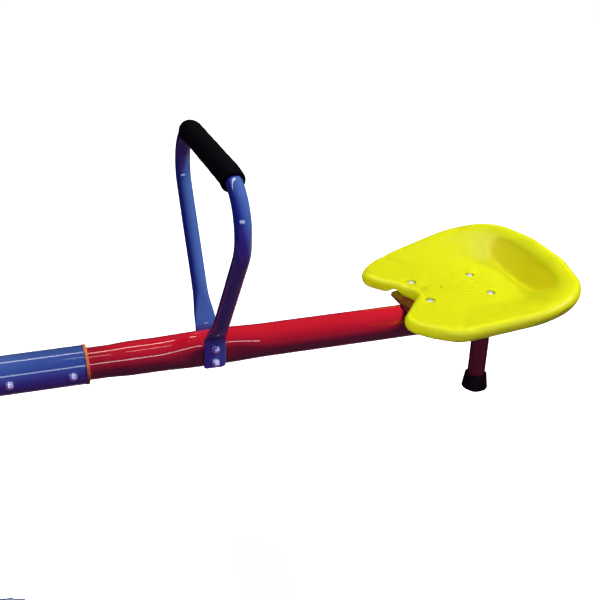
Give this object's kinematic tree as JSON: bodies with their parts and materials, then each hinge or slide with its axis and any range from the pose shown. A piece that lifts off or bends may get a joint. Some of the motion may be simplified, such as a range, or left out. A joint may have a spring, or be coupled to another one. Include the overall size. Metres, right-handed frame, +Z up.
{
  "type": "spinning seesaw",
  "caption": "Tubular steel seesaw whose beam rocks on a cross bolt and spins on a post, with a dished seat and an arched foam-grip handle at each end.",
  "frame": {"origin": "on the floor, on the post's axis, under the middle of the beam", "axes": "+X along the level beam to the end that the picture shows, +Z up, +Y across the beam, away from the camera's side"},
  "size_m": [1.8708, 0.7012, 0.8813],
  "materials": {
    "blue_enamel": "gloss enamel",
    "red_enamel": "gloss enamel",
    "yellow_plastic": "satin moulding",
    "orange_plastic": "satin moulding",
    "black_plastic": "satin moulding",
    "black_rubber": "smooth rubber",
    "black_foam": "closed-cell foam",
    "white_nylon": "plain moulding",
    "zinc_plate": "bright zinc",
    "bright_steel": "drawn steel"
  },
  "bodies": {
    "base": {"hub_post": "blue_enamel", "upper_bush": "white_nylon", "lower_bush": "white_nylon", "leg_1": "blue_enamel", "foot_1": "black_rubber", "leg_bolt_1": "zinc_plate", "leg_2": "blue_enamel", "foot_2": "black_rubber", "leg_bolt_2": "zinc_plate", "leg_3": "blue_enamel", "foot_3": "black_rubber", "leg_bolt_3": "zinc_plate", "leg_4": "blue_enamel", "foot_4": "black_rubber", "leg_bolt_4": "zinc_plate"},
    "swivel": {"yoke": "blue_enamel", "spindle": "bright_steel", "thrust_washer": "bright_steel", "retaining_washer": "zinc_plate", "retaining_bolt": "zinc_plate", "pivot_bolt": "zinc_plate", "pivot_nut": "zinc_plate"},
    "beam": {"centre_tube": "blue_enamel", "pivot_barrel": "bright_steel", "pivot_bush_near": "white_nylon", "pivot_bush_far": "white_nylon", "right_arm": "red_enamel", "right_collar": "orange_plastic", "right_handle": "blue_enamel", "right_grip": "black_foam", "right_seat": "yellow_plastic", "right_seat_plate": "red_enamel", "right_bumper_leg": "red_enamel", "right_bumper_foot": "black_rubber", "right_arm_plug": "black_plastic", "right_sleeve_bolt_1": "zinc_plate", "right_sleeve_bolt_2": "zinc_plate", "right_handle_bolt_1": "zinc_plate", "right_handle_bolt_2": "zinc_plate", "right_seat_bolt_1": "zinc_plate", "right_seat_bolt_2": "zinc_plate", "right_seat_bolt_3": "zinc_plate", "right_seat_bolt_4": "zinc_plate", "left_arm": "red_enamel", "left_collar": "orange_plastic", "left_handle": "blue_enamel", "left_grip": "black_foam", "left_seat": "yellow_plastic", "left_seat_plate": "red_enamel", "left_bumper_leg": "red_enamel", "left_bumper_foot": "black_rubber", "left_arm_plug": "black_plastic", "left_sleeve_bolt_1": "zinc_plate", "left_sleeve_bolt_2": "zinc_plate", "left_handle_bolt_1": "zinc_plate", "left_handle_bolt_2": "zinc_plate", "left_seat_bolt_1": "zinc_plate", "left_seat_bolt_2": "zinc_plate", "left_seat_bolt_3": "zinc_plate", "left_seat_bolt_4": "zinc_plate"}
  },
  "joints": [
    {"name": "spin", "type": "hinge", "parent": "base", "child": "swivel", "pos_m": [0, 0, 0.25], "axis": [0, 0, 1], "continuous": true},
    {"name": "rock", "type": "hinge", "parent": "swivel", "child": "beam", "pos_m": [0, 0, 0.48], "axis": [0, 1, 0], "range_deg": [-24, 24]}
  ]
}
